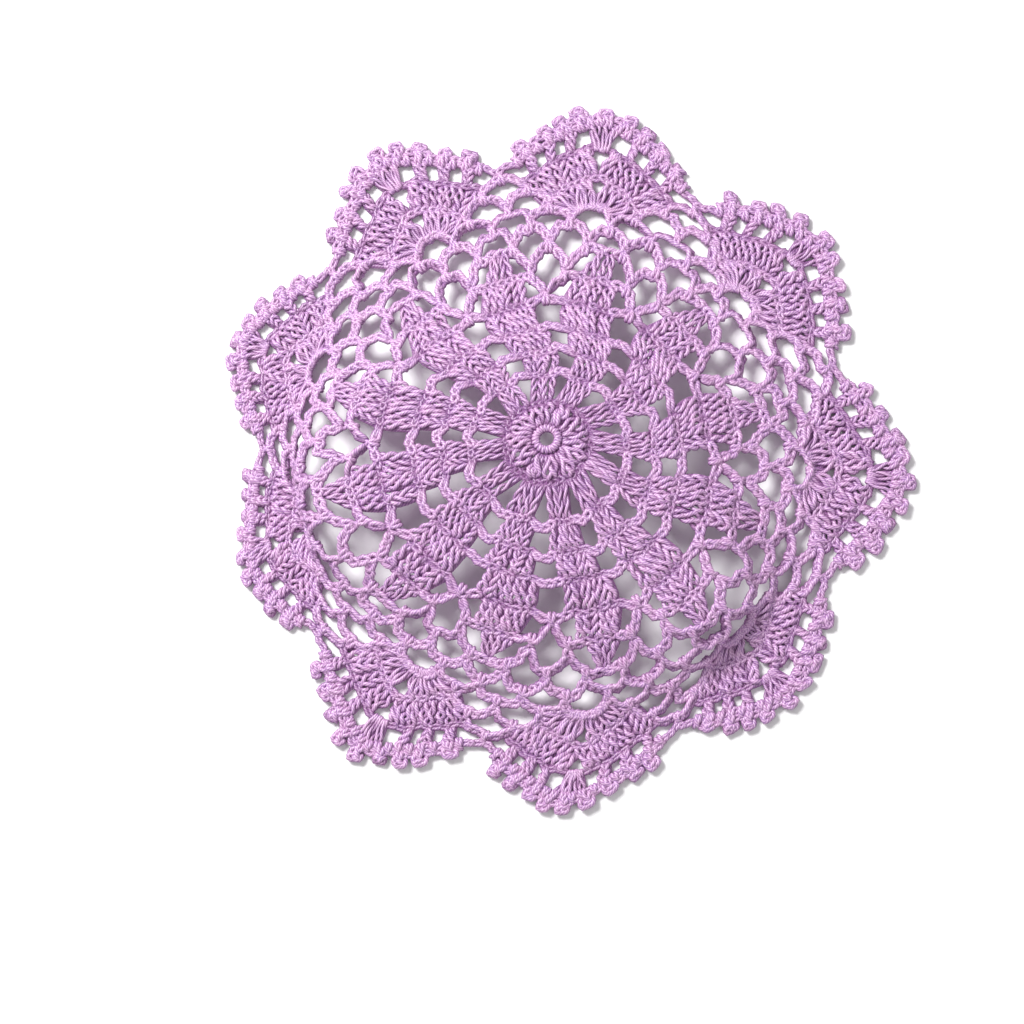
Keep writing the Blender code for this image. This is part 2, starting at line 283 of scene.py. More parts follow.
class DoilyFinish(PropertyGroup):
    """Colours and gloss of the mercerised cotton, with its painted highlight and painted shade."""
    # Painted highlight on the crests of the plies, lit or not.
    bright: colour_property("Bright", "Colour of the silky crests of the plies", (0.665, 0.42, 0.65))
    light: colour_property("Light", "Colour of the flanks of the plies", (0.48, 0.235, 0.45))
    cool: colour_property("Cool", "Colour of the flanks where the dye took bluer", (0.36, 0.17, 0.46))
    # Painted shade in the grooves between the plies.
    deep: colour_property("Deep", "Colour in the grooves between the plies", (0.33, 0.15, 0.36))
    # Painted shade on the flanks of strands and deep in the cloth: the colour is multiplied by this.
    shade: colour_property("Shade", "What the thread keeps of its colour deep in the cloth",
                           (0.44, 0.29, 0.46))
    roughness: FloatProperty(
        name="Roughness", description="Roughness of the thread", subtype="FACTOR",
        default=0.40, min=0.0, max=1.0)
    ply_depth: length_property("Ply depth", "Depth of the grooves between the plies", 0.03, 0.0)
    fibre_depth: length_property("Fibre depth", "Depth of the fine streaks on the plies", 0.02, 0.0)


class DoilyStage(PropertyGroup):
    """Camera, floor and lights."""
    tilt: angle_property("Tilt", "How far the camera leans from straight above", 14.0)
    azimuth: angle_property("Azimuth", "Side towards which the camera leans", -70.0)
    distance: length_property("Distance", "From the camera to the doily", 620.0)
    scale: FloatProperty(
        name="Scale", description="Photograph pixels for a metre at that distance",
        default=3600.0)
    floor: colour_property("Floor", "Colour of the floor", (0.92, 0.92, 0.92))


# ================================================================ the cloth
def unit(vectors):
    """The directions of a list of vectors."""
    return vectors / np.maximum(np.linalg.norm(vectors, axis=-1, keepdims=True), 1e-12)


def curve_terms(a, b, c, d):
    """The linear, square and cube terms of the smooth curve from b to c."""
    return c - a, 2.0 * a - 5.0 * b + 4.0 * c - d, 3.0 * b - a - 3.0 * c + d


def smooth_between(points, share):
    """Places a share of the way from b to c on the smooth curve through a, b, c and d."""
    linear, square, cube = curve_terms(*points)
    return points[1] + 0.5 * share * (linear + share * (square + share * cube))


def with_ends(points):
    """The points with one more at each end, straight on."""
    return np.vstack([2 * points[0] - points[1], points, 2 * points[-1] - points[-2]])


def lie_columns(headings):
    """Every column of LIES in all directions, as smooth closed curves through its rows."""
    table = np.array(LIES, float)
    position = (headings % 360.0) / LOBE_STEP
    row = np.floor(position).astype(int)
    rows = [table[(row + step) % LOBE_COUNT] for step in (-1, 0, 1, 2)]
    return Lie(*smooth_between(rows, (position - row)[:, None]).T[:, :, None])


def drape_grid():
    """Places and upward normals of the draped cloth on the round grid: two (turn, radius, 3)."""
    headings = np.arange(0.0, 360.0, GRID_TURN)
    radii = np.arange(0.0, GRID_RADIUS + 1.0)
    lie = lie_columns(headings)
    radius = radii[None, :]
    inner = CROWN - (CROWN - lie.shoulder) * (radius / lie.brow) ** CROWN_POWER
    share = np.clip((radius - lie.brow) / (lie.foot - lie.brow), 0.0, 1.0)
    slope = lie.shoulder * (1.0 + np.cos(math.pi * share)) / 2.0
    level = np.where(radius < lie.brow, inner, slope)
    run = np.sqrt(np.maximum(1.0 - np.diff(level, axis=1) ** 2, 0.0))
    out = np.concatenate([np.zeros((len(headings), 1)), np.cumsum(run, axis=1)], axis=1)

    def blend(stops, columns):
        """Straight blend outwards between the columns at the stops, for every direction."""
        columns = np.array([np.broadcast_to(column, lie.brow.shape)[:, 0] for column in columns])
        return np.array([np.interp(radii, stops, column) for column in columns.T])

    turn = blend((0.0, HEART_STOP, LEAF_STOP, NET_STOP, EDGE_STOP),
                 (lie.turn_heart, lie.turn_heart, lie.turn_leaf, lie.turn_net, lie.turn_edge))
    give = blend((0.0, RING_STOP, LEAF_STOP, NET_STOP, EDGE_STOP),
                 (1.0, 1.0, lie.give_leaf, lie.give_net, lie.give_edge))
    angle = np.radians(headings[:, None] + turn)
    share = np.clip(radius / SLIP_END, 0.0, 1.0)
    slip = 1.0 - share * share * (3.0 - 2.0 * share)
    places = np.stack([out * give * np.cos(angle) + SLIP[0] * slip + CHART_ORIGIN[0],
                       out * give * np.sin(angle) + SLIP[1] * slip + CHART_ORIGIN[1],
                       level], axis=2)
    outwards = np.gradient(places, axis=1)
    around = np.roll(places, -1, axis=0) - np.roll(places, 1, axis=0)
    normals = unit(np.cross(outwards, around))
    normals[:, 0] = (0.0, 0.0, 1.0)
    return places, normals


PLACES, NORMALS = drape_grid()


def on_cloth(points):
    """Chart points (across, across, rise) in millimetres, taken to their places on the cloth."""
    radius = np.hypot(points[:, 0], points[:, 1])
    heading = np.degrees(np.arctan2(points[:, 1], points[:, 0])) % 360.0
    ring = np.minimum(radius.astype(int), GRID_RADIUS - 1)
    spoke = (heading / GRID_TURN).astype(int)
    out = (radius - ring)[:, None]
    turn = (heading / GRID_TURN - spoke)[:, None]
    spokes = PLACES.shape[0]
    spoke, after = spoke % spokes, (spoke + 1) % spokes

    def blend(grid):
        """The grid's values at the points, blended between its crossings."""
        near = grid[spoke, ring] * (1 - turn) + grid[after, ring] * turn
        far = grid[spoke, ring + 1] * (1 - turn) + grid[after, ring + 1] * turn
        return near * (1 - out) + far * out

    return blend(PLACES) + blend(NORMALS) * (MID_CLOTH + points[:, 2:3])


# ================================================================ drawing in the chart
def polar(radius, heading):
    """A chart point from its radius and its heading in degrees."""
    angle = math.radians(heading)
    return np.array((radius * math.cos(angle), radius * math.sin(angle)))


def lobe_point(lobe, across, above):
    """A chart point from its place across a lobe and above the lobe's foot."""
    angle = math.radians(lobe * LOBE_STEP)
    outwards = np.array((math.cos(angle), math.sin(angle)))
    sideways = np.array((-outwards[1], outwards[0]))
    return outwards * (LOBE_FOOT + above) + sideways * across


def arch_place(arch, place):
    """Place across and above on an arch, for a place from -1 (one end) to 1 (the other)."""
    rise = (arch.top - arch.end) * (1.0 - abs(place) ** ARCH_POWER)
    return arch.span * place, arch.end + rise


def arch_point(lobe, arch, place):
    """The chart point at a place on a lobe's arch."""
    return lobe_point(lobe, *arch_place(arch, place))


def arch_line(lobe, arch, start, end):
    """Many chart points along an arch, from one place on it to another."""
    return np.array([arch_point(lobe, arch, place)
                     for place in np.linspace(start, end, ARCH_POINTS)])


def measure(line):
    """Length along a line of points, from its start to each point."""
    return np.concatenate([[0.0], np.cumsum(np.linalg.norm(np.diff(line, axis=0), axis=1))])


def points_along(line, distances):
    """Points at the given distances along a line."""
    reach = measure(line)
    return np.stack([np.interp(distances, reach, column) for column in line.T], axis=1)


def even_knots(line, links):
    """Points that part a line into links of one length."""
    return points_along(line, np.linspace(0.0, measure(line)[-1], links + 1))


def curve_through(knots, where):
    """Points and sideways directions on the smooth curve through knots, at knot numbers."""
    padded = with_ends(knots)
    cell = np.clip(np.floor(where).astype(int), 0, len(knots) - 2)
    share = (where - cell)[:, None]
    around = [padded[cell + step] for step in range(4)]
    linear, square, cube = curve_terms(*around)
    ahead = unit(linear + share * (2 * square + 3 * share * cube))
    return smooth_between(around, share), np.stack([-ahead[:, 1], ahead[:, 0]], axis=1)


# ================================================================ stitches
# One link of a chain: (links ahead, half widths aside, rise) along the thread.
LINK = (
    (0.00, -0.30, -0.25),
    (0.42, -0.78, 0.06),
    (0.92, -1.00, 0.26),
    (1.38, -0.42, 0.22),
    (1.38, 0.42, 0.22),
    (0.92, 1.00, 0.26),
    (0.42, 0.78, 0.06),
    (0.00, 0.30, -0.25),
    (0.50, 0.00, -0.02),
)

# A tall stitch, from its foot (0) to its head (1): two plump strands go round each other, so
# that the one in front always slants the same way. Over the lower half they lie close and leave
# a short slot before the next stitch; where the bar crosses, at BAR_PLACE, they fill the row.
TALL_POINTS = 12          # places along a strand
TALL_TURNS = 1.5          # how often the strands go round each other
TALL_START = 0.4          # where they start, in radians
TALL_HANDED = 0.8         # share of the stitches that turn the usual way
TALL_REACH = 0.62         # millimetres from the middle of the stitch to a strand's middle
TALL_RISE = 0.50          # and how far above and below it
TALL_LIFT = 0.12          # the whole stitch lies this much higher
BAR_PLACE = 0.70
BAR_SPREAD = 0.20
BAR_REACH = 0.20          # the strands lie this share of the pitch further out there
BAR_RISE = 0.26
TALL_END = 0.18           # the first and last part of a strand dive under the braids
TALL_DIVE = 0.95
FULL_PITCH = 2.05         # stitches this far apart show their thread in its full thickness
TALL_GIRTH = 1.06         # the thickness of the thread there
LEAST_GIRTH = 0.74        # and where stitches are pressed together
FOOT_STRAY = 0.5          # feet stray this much less than heads
FOOT_LEAN = 0.35          # how a stitch's lean is shared between its foot and head
HEAD_LEAN = 0.65
LEAN_SPREAD = 0.30        # how uneven the lean is
BOW_SPREADS = (0.20, 0.12, 0.05)  # and the bend, lift and slide of a stitch
GIRTH_SPREAD = 0.05
# The loop that closes the slot behind a stitch: (pitches aside, share of the height, rise).
BACK = ((0.50, -0.06, -0.50), (0.50, 0.30, -0.60), (0.50, 0.72, -0.60), (0.50, 1.04, -0.50))
BACK_GIRTH = 1.15
# A foot wrapped round a chain: (millimetres out from the chain, rise).
WRAP = ((0.60, -0.62), (-0.45, -0.72), (-1.05, -0.10), (-0.60, 0.58))

# A short stitch over a chain: (millimetres aside, millimetres out from the chain, rise).
CROSS = (
    (-0.15, 0.70, -0.60),
    (-0.35, -0.60, -0.62),
    (-0.50, -1.08, 0.00),
    (-0.60, -0.60, 0.74),
    (-0.50, 0.35, 0.82),
    (-0.05, 1.30, 0.60),
    (0.55, 2.00, 0.26),
    (0.90, 2.45, -0.20),
)
CROSS_LEGS = ((1, 0.0), (-1, -0.10))  # two legs cross: the side of each and how high it lies
BRAID_END = 0.38          # a braid runs on this share of a link past its last knot

# The thread that closes a picot runs over it: (millimetres aside, rise).
PICOT_KNOT = ((-1.90, -0.70), (-1.55, 0.10), (-0.60, 0.66),
              (0.60, 0.66), (1.55, 0.10), (1.90, -0.70))


class Stitches:
    """The strands of thread in one piece: lines of chart points with a rise and a girth."""

    def __init__(self, salt):
        self.thread = thread = bpy.context.scene.doily_thread
        self.half = (thread.braid - thread.thickness) / 2.0 / MM
        self.link = thread.link / MM
        self.wander = thread.wander / MM
        self.lean = thread.lean / MM
        self.roll = thread.roll
        self.strands = []
        self.dice = np.random.default_rng(thread.seed + salt)

    def strand(self, points, girth=1.0):
        """Adds one strand of a girth, or of one girth for each point."""
        points = np.array(points, float)
        girths = np.broadcast_to(np.asarray(girth, float), (len(points),))
        self.strands.append(np.column_stack([points, girths]))

    def stray(self, size=1.0):
        """A small uneven shift of one stitch."""
        return self.dice.normal(0.0, self.wander * size, 2)

    def chain(self, line, links=None, sink=0.0, width=1.0, roll=0.0, girth=1.0):
        """A chain of links along a line of chart points."""
        if links is None:
            links = max(1, round(measure(line)[-1] / self.link))
        knots = even_knots(line, links)
        knots[1:-1] += self.dice.normal(0.0, self.wander * CHAIN_WANDER, knots[1:-1].shape)
        self.braid(knots, sink, width, roll, girth)

    def braid(self, knots, sink=0.0, width=1.0, roll=0.0, girth=1.0):
        """Links from knot to knot. Sink, width and girth are for all links or, as lists, each."""
        links = len(knots) - 1
        sinks, widths, girths = (
            np.repeat(np.broadcast_to(np.asarray(values, float), (links,)), len(LINK))
            for values in (sink, width, girth))
        ahead, aside, rise = np.array(LINK).T
        where = (np.arange(links)[:, None] + ahead[None, :]).ravel()
        aside = np.tile(aside, links) * self.half * widths
        rise = np.tile(rise, links)
        turn = np.radians(roll)
        shift = aside * np.cos(turn) - rise * np.sin(turn)
        lift = aside * np.sin(turn) + rise * np.cos(turn)
        points, sideways = curve_through(knots, np.minimum(where, links + BRAID_END))
        self.strand(np.column_stack([points + sideways * shift[:, None], lift - sinks]), girths)

    def tall(self, foot, head, foot_pitch, head_pitch, wrapped=False, lean=1.0, splay=0.0,
             turns=TALL_TURNS):
        """A tall stitch from foot to head, where stitches stand the pitches apart."""
        along = head - foot
        out = along / np.linalg.norm(along)
        side = np.array((-out[1], out[0]))
        lean = self.lean * lean * self.dice.normal(1.0, LEAN_SPREAD)
        foot = foot + self.stray(FOOT_STRAY) + side * lean * FOOT_LEAN
        head = head + self.stray() - side * lean * HEAD_LEAN
        along = head - foot
        bend, lift, slide = self.dice.normal(0.0, BOW_SPREADS)
        fat = self.dice.normal(1.0, GIRTH_SPREAD)
        start = self.dice.normal(TALL_START, self.roll)
        hand = 1.0 if self.dice.random() < TALL_HANDED else -1.0

        def put(aside, share, rise):
            """Strand points and girths from places aside, along and above the stitch."""
            inside = np.clip(share, 0.0, 1.0)
            pitch = foot_pitch + (head_pitch - foot_pitch) * inside
            tight = np.clip(pitch / FULL_PITCH, LEAST_GIRTH / TALL_GIRTH, 1.0)
            eye = splay * np.exp(-((inside - EYE_PLACE) / EYE_SPREAD) ** 2)
            shift = aside * tight + bend * np.sin(math.pi * inside) + eye
            points = foot + share[:, None] * along + shift[:, None] * side
            return np.column_stack([points, rise * tight + lift]), TALL_GIRTH * fat * tight

        share = np.linspace(0.0, 1.0, TALL_POINTS)
        pitch = foot_pitch + (head_pitch - foot_pitch) * share
        bar = np.exp(-((share - BAR_PLACE) / BAR_SPREAD) ** 2)
        ends = np.maximum(0.0, 1.0 - np.minimum(share, 1.0 - share) / TALL_END)
        reach = (TALL_REACH + BAR_REACH * bar * pitch) * (1.0 - 0.5 * ends)
        for phase in (0.0, math.pi):
            turn = 2.0 * math.pi * turns * share + phase + start
            aside = hand * reach * np.sin(turn)
            rise = (TALL_RISE * (1.0 - ends)) * np.cos(turn) + BAR_RISE * bar - TALL_DIVE * ends
            leg, girths = put(aside, share + slide * np.sin(math.pi * share), rise + TALL_LIFT)
            if wrapped:
                wrap = np.array(WRAP)
                points = foot + wrap[:, :1] * out + side * aside[0]
                leg = np.vstack([np.column_stack([points, wrap[:, 1]]), leg[2:]])
                girths = np.concatenate([np.full(len(wrap), girths[0]), girths[2:]])
            self.strand(leg, girths)
        if splay >= 0.0:
            aside, share, rise = np.array(BACK).T
            points, girths = put(aside * head_pitch, share, rise)
            self.strand(points, girths * BACK_GIRTH)

    def short(self, crest, out, scale=1.0):
        """A short stitch that hugs a chain at its crest and stands out from it."""
        side = np.array((-out[1], out[0]))
        crest = crest + self.stray(FOOT_STRAY)
        for sign, lift in CROSS_LEGS:
            self.strand([(*(crest + side * aside * sign * scale + out * over), rise + lift)
                         for aside, over, rise in CROSS])


# ================================================================ from strands to a mesh
def smooth_samples(strands, step, bend):
    """Points on the smooth curve through each strand, denser in bends, and their counts."""
    padded = [with_ends(points) for points in strands]
    around = [np.vstack([points[step:len(points) - 3 + step] for points in padded])
              for step in range(4)]
    a, b, c, d = around
    owner = np.repeat(np.arange(len(strands)), [len(points) - 1 for points in strands])
    coming = (c - a)[:, :3]
    going = (d - b)[:, :3]
    cosine = np.sum(coming * going, axis=1)
    cosine /= np.linalg.norm(coming, axis=1) * np.linalg.norm(going, axis=1) + 1e-12
    turns = np.arccos(np.clip(cosine, -1.0, 1.0)) / bend
    lengths = np.linalg.norm((c - b)[:, :3], axis=1) / step
    cuts = np.maximum(np.round(np.maximum(turns, lengths)), 1).astype(int)
    piece = np.repeat(np.arange(len(cuts)), cuts)
    first = np.cumsum(cuts) - cuts
    share = ((np.arange(len(piece)) - first[piece]) / cuts[piece])[:, None]
    points = smooth_between([part[piece] for part in around], share)
    points = np.vstack([points, [strand[-1] for strand in strands]])
    owner = np.concatenate([owner[piece], np.arange(len(strands))])
    order = np.argsort(owner, kind="stable")
    return points[order], np.bincount(owner, minlength=len(strands))


def tube_frames(places, counts):
    """Directions along, across and up for every point, turned as little as possible."""
    firsts = np.cumsum(counts) - counts
    lasts = firsts + counts - 1
    ahead = np.empty_like(places)
    ahead[1:-1] = places[2:] - places[:-2]
    ahead[firsts] = places[firsts + 1] - places[firsts]
    ahead[lasts] = places[lasts] - places[lasts - 1]
    ahead = unit(ahead)
    across = np.zeros_like(places)
    start = ahead[firsts]
    guide = np.where(np.abs(start[:, 2:3]) < UPRIGHT, [[0.0, 0.0, 1.0]], [[1.0, 0.0, 0.0]])
    across[firsts] = unit(np.cross(start, guide))
    for number in range(1, counts.max()):
        live = firsts[counts > number] + number
        last = across[live - 1]
        now = ahead[live]
        across[live] = unit(last - now * np.sum(last * now, axis=1, keepdims=True))
    return across, np.cross(ahead, across)


def shelf_map(along, spans, ends, sides, girth):
    """A flat map of the tubes without overlaps: one long strip, cut into a square's shelves."""
    width = math.sqrt(along[-1] * girth)
    shelves = math.floor(along[-1] / width) + 1
    longest = np.max(along[spans + 1] - along[spans])
    shelf = np.floor(along[spans] / width)
    start = (along[spans] - shelf * width) / (width + longest)
    end = (along[spans + 1] - shelf * width) / (width + longest)
    corner = np.arange(sides)
    low, high = (shelf[:, None] + (corner + step) / sides * SHELF_FILL for step in (0, 1))
    across = np.stack([low, high, high, low], axis=2) / shelves
    reach = np.stack([start, start, end, end], axis=1)[:, None, :]
    reach = np.broadcast_to(reach, across.shape)
    quads = np.stack([reach, across], axis=3).reshape(-1, 2)
    shelf = np.minimum(np.floor(along[ends] / width), shelves - 1)
    turns = 2.0 * math.pi * corner / sides
    middle = np.clip((along[ends] - shelf * width) / (width + longest), 0.01, 0.99)
    size = (1.0 - SHELF_FILL) / 3.0 / shelves
    caps = np.stack([middle[:, None] + size * np.cos(turns),
                     ((shelf + (1.0 + SHELF_FILL) / 2.0) / shelves)[:, None]
                     + size * np.sin(turns)], axis=2).reshape(-1, 2)
    return np.vstack([quads, caps]).astype(np.float32)


def thread_mesh(name, lace):
    """One closed tube for every strand, with a map of the turn and length along the thread."""
    thread = lace.thread
    chart, counts = smooth_samples(lace.strands, thread.step / MM, thread.bend)
    size = thread.thickness / 2.0 / MM * chart[:, 3]
    places = on_cloth(chart[:, :3])
    places[:, 2] = np.maximum(places[:, 2], size)
    across, up = tube_frames(places, counts)
    firsts = np.cumsum(counts) - counts
    lasts = firsts + counts - 1
    size[firsts] *= END_TAPER
    size[lasts] *= END_TAPER

    sides = thread.sides
    corner = np.arange(sides)
    angles = 2.0 * math.pi * corner / sides
    rings = (places[:, None, :]
             + size[:, None, None] * (np.cos(angles)[None, :, None] * across[:, None, :]
                                      + np.sin(angles)[None, :, None] * up[:, None, :]))
    vertices = rings.reshape(-1, 3) * MM
    # How far each corner lies from the middle of the cloth: the mask of the painted shade on the
    # flanks of strands and on thread deep in the cloth.
    painted_shade_depth = np.abs(chart[:, 2:3] + rings[:, :, 2] - places[:, 2:3])

    spans = np.setdiff1d(np.arange(len(places)), lasts)
    following = (corner + 1) % sides
    near, far = spans[:, None] * sides, (spans[:, None] + 1) * sides
    quads = np.stack([near + corner, near + following, far + following, far + corner], axis=2)
    quads = quads.reshape(-1, 4)
    caps = np.vstack([firsts[:, None] * sides + corner[::-1], lasts[:, None] * sides + corner])

    lengths = np.zeros(len(places))
    lengths[1:] = np.linalg.norm(np.diff(places, axis=0), axis=1)
    lengths[firsts] = 0.0
    along = np.cumsum(lengths)
    twist = thread.twist / MM
    turns = np.stack([corner, corner + 1, corner + 1, corner], axis=1) / sides
    start, end = along[spans] / twist, along[spans + 1] / twist
    reach = np.stack([start, start, end, end], axis=1)[:, None, :]
    shape = (len(spans), sides, 4)
    quad_map = np.stack([np.broadcast_to(turns, shape), np.broadcast_to(reach, shape)], axis=3)
    ends = np.concatenate([firsts, lasts])
    cap_map = np.column_stack([np.tile(corner / sides, len(ends)),
                               np.repeat(along[ends] / twist, sides)])

    mesh = bpy.data.meshes.new(name)
    mesh.vertices.add(len(vertices))
    mesh.vertices.foreach_set("co", vertices.ravel())
    corners = np.concatenate([quads.ravel(), caps.ravel()])
    mesh.loops.add(len(corners))
    mesh.loops.foreach_set("vertex_index", corners)
    totals = np.concatenate([np.full(len(quads), 4), np.full(len(caps), sides)])
    mesh.polygons.add(len(totals))
    mesh.polygons.foreach_set("loop_start", np.cumsum(totals) - totals)
    mesh.update(calc_edges=True)
    layer = mesh.uv_layers.new(name="thread")
    thread_map = np.concatenate([quad_map.ravel(), cap_map.ravel()])
    layer.uv.foreach_set("vector", thread_map.astype(np.float32))
    layer = mesh.uv_layers.new(name="OFBake")
    flat_map = shelf_map(along, spans, ends, sides, math.pi * thread.thickness / MM)
    layer.uv.foreach_set("vector", flat_map.ravel())
    layer = mesh.attributes.new("painted_shade_depth", "FLOAT", "POINT")
    layer.data.foreach_set("value", painted_shade_depth.astype(np.float32).ravel())
    mesh.shade_smooth()
    return mesh


def add_piece(name, lace):
    """Turns stitches into an object that stands for the solid doily."""
    scene = bpy.context.scene
    mesh = thread_mesh(name, lace)
    mesh.materials.append(thread_material(scene.doily_finish))
    piece = bpy.data.objects.new(name, mesh)
    scene.collection.objects.link(piece)
    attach(piece, BODY)
    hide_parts(NODE)
    return piece


# ================================================================ the finish
def thread_material(finish):
    """Mercerised lilac cotton: tight plies, with a painted highlight on their crests, painted shade
    in their grooves and painted shade deep in the cloth.
    """
    name = "mercerised lilac cotton"
    if name in bpy.data.materials:
        return bpy.data.materials[name]
    material = bpy.data.materials.new(name)
    material.use_nodes = True
    nodes, links = material.node_tree.nodes, material.node_tree.links

    def fill(node, sockets):
        """Links or sets the sockets of a node."""
        for socket, value in sockets.items():
            if isinstance(value, bpy.types.NodeSocket):
                links.new(value, node.inputs[socket])
            else:
                node.inputs[socket].default_value = value

    def make(kind, output, sockets, **settings):
        """Adds a node and gives one of its outputs."""
        node = nodes.new("ShaderNode" + kind)
        for setting, value in settings.items():
            setattr(node, setting, value)
        fill(node, sockets)
        return node.outputs[output]

    def maths(operation, *values):
        """A sum, product or function of values."""
        return make("Math", "Value", dict(enumerate(values)), operation=operation)

    def ramp(value, ends, curve="SMOOTHSTEP"):
        """A value's way from one end (0) to the other (1)."""
        return make("MapRange", "Result",
                    {"Value": value, "From Min": ends[0], "From Max": ends[1]},
                    interpolation_type=curve)

    def mix(share, first, second, blend_type="MIX"):
        """Two colours mixed, with a share of the second."""
        return make("MixRGB", "Color", {"Fac": share, "Color1": first, "Color2": second},
                    blend_type=blend_type)

    turn_and_length = make("UVMap", "UV", {}, uv_map="thread")
    turn_or_length = nodes.new("ShaderNodeSeparateXYZ")
    fill(turn_or_length, {"Vector": turn_and_length})
    slant = maths("ADD", turn_or_length.outputs["X"], turn_or_length.outputs["Y"])
    crest = maths("ABSOLUTE", maths("SINE", maths("MULTIPLY", slant, PLIES * math.pi)))

    place = make("TexCoord", "Object", {})
    dye = make("TexNoise", "Fac", {"Vector": place, "Scale": DYE_SCALE, "Detail": 3.0,
                                   "Roughness": 0.6})
    flank = mix(ramp(dye, DYE_PATCH, "LINEAR"), (*finish.light, 1.0), (*finish.cool, 1.0))
    # Painted shade in the grooves between the plies, then a painted highlight on their crests.
    with_groove_shade = mix(ramp(crest, GROOVE_SHADE), (*finish.deep, 1.0), flank)
    colour = mix(ramp(crest, CREST_HIGHLIGHT), with_groove_shade, (*finish.bright, 1.0))
    # Painted shade: the colour is darkened towards the flanks of strands and deeper in the cloth.
    painted_shade_depth = make("Attribute", "Fac", {}, attribute_name="painted_shade_depth")
    with_painted_shade = mix(ramp(painted_shade_depth, SHADE_REACH), colour, (*finish.shade, 1.0), "MULTIPLY")

    streak_map = make("Mapping", "Vector", {"Vector": turn_and_length,
                                            "Scale": STREAK_SCALE})
    streaks = make("TexNoise", "Fac", {"Vector": streak_map, "Scale": 1.0, "Detail": 2.0})
    fine = make("Bump", "Normal", {"Height": streaks, "Strength": STREAK_STRENGTH,
                                   "Distance": finish.fibre_depth})
    plies = make("Bump", "Normal", {"Height": crest, "Strength": 1.0,
                                    "Distance": finish.ply_depth, "Normal": fine})
    fill(nodes["Principled BSDF"], {
        "Roughness": finish.roughness, "Specular IOR Level": 0.80, "Sheen Weight": 0.06,
        "Sheen Roughness": 0.35, "Sheen Tint": (1.0, 0.88, 1.0, 1.0), "Base Color": with_painted_shade,
        "Normal": plies})
    return material


# ================================================================ the pieces
LEAF_HEADINGS = [(leaf + 0.5) * LEAF_STEP for leaf in range(LEAF_COUNT)]


def spread(count, half_width):
    """Even places of `count` stitches over a width, and the pitch between them."""
    pitch = 2.0 * half_width / count
    return (np.arange(count) - (count - 1) / 2.0) * pitch, pitch


def beside(radius, heading, across, out=0.0):
    """A chart point beside a heading, `across` along the circle of a radius, or out of it."""
    return polar(radius + out, heading + math.degrees(across / radius))


def leaf_row(lace, row):
    """The tall stitches of every leaf in one round."""
    feet, foot_pitch = spread(row.stitches, row.half_foot)
    heads, head_pitch = spread(row.stitches, row.half_head)
    for heading in LEAF_HEADINGS:
        for foot, head in zip(feet, heads):
            lace.tall(beside(row.foot, heading, foot), beside(row.head, heading, head),
                      foot_pitch, head_pitch)


def closed_braid(lace, knots, *details, **more):
    """A braid round the whole lace, through knots that stray a little."""
    knots = np.array(knots) + lace.dice.normal(0.0, lace.wander, (len(knots), 2))
    lace.braid(np.vstack([knots, knots[:1]]), *details, **more)


def leaf_round_braid(lace, row):
    """The heads of a round's stitches and the chains between its leaves, as one closed braid."""
    knots, links = [], []
    heads, pitch = spread(row.stitches, row.half_head)
    edge = math.degrees(row.half_head / row.head)
    gap = LEAF_STEP - 2.0 * edge
    for heading in LEAF_HEADINGS:
        for head in heads:
            knots.append(beside(row.head, heading, head - pitch / 2, ROW_OUT))
            links.append((lace.dice.uniform(*ROW_SINK), 1.0, 1.0))
        droop = lace.dice.uniform(*GAP_BOW)
        for link in range(row.links):
            share = link / row.links
            bow = droop * math.sin(math.pi * share)
            knots.append(polar(row.head + ROW_OUT + bow, heading + edge + gap * share))
            links.append((GAP_SINK, NET_WIDTH, NET_GIRTH))
    sinks, widths, girths = zip(*links)
    closed_braid(lace, knots, sinks, widths, girth=girths)


class DOILY_OT_ring(Operator):
    """Work the ring in the middle and the first round of stitches"""
    bl_idname = "doily.ring"
    bl_label = "Ring and first round"

    def execute(self, context):
        lace = Stitches(salt=1)
        wind = np.linspace(0.0, 2.0 * math.pi * RING_WINDS, RING_WINDS * WIND_POINTS + 1)
        way = wind / RING_WINDS
        radius = RING_RADIUS + RING_ROLL * np.cos(wind)
        lace.strand(np.column_stack([radius * np.cos(way), radius * np.sin(way),
                                     RING_ROLL * np.sin(wind)]))
        for heading in LEAF_HEADINGS:
            for side in (-1, 1):
                turn = lace.dice.normal(0.0, FIRST_STRAY)
                lace.tall(polar(FIRST_FOOT, heading + side * FIRST_FOOT_TURN + turn),
                          polar(FIRST_HEAD, heading + side * FIRST_HEAD_TURN + turn),
                          *FIRST_PITCH, lean=FIRST_LEAN, turns=FIRST_TURNS)
        knots = [polar(FIRST_HEAD + POINT_OUT, heading + turn)
                 for heading in LEAF_HEADINGS for turn in FIRST_KNOTS]
        closed_braid(lace, knots, FIRST_SINK)
        add_piece("ring_and_first_round", lace)
        return {"FINISHED"}


class DOILY_OT_leaves(Operator):
    """Work the twelve leaves, with the chains between them"""
    bl_idname = "doily.leaves"
    bl_label = "Leaves"

    def execute(self, context):
        lace = Stitches(salt=2)
        for row in LEAF_ROUNDS[:3]:
            leaf_row(lace, row)
            leaf_round_braid(lace, row)
        add_piece("inner_leaves", lace)

        lace = Stitches(salt=3)
        fifth, sixth, seventh = LEAF_ROUNDS[3:]
        for row in (fifth, sixth, seventh):
            leaf_row(lace, row)
        leaf_round_braid(lace, fifth)
        for heading in LEAF_HEADINGS:
            heads = np.linspace(-sixth.half_head, sixth.half_head, HEAD_POINTS)
            line = np.array([beside(sixth.head, heading, head, ROW_OUT) for head in heads])
            lace.chain(line, sixth.stitches, sink=LAST_ROW_SINK)
            top = [polar(seventh.head + POINT_OUT, heading + turn) for turn in POINT_TURNS]
            lace.chain(np.array(top), 1)
        add_piece("outer_leaves", lace)
        return {"FINISHED"}


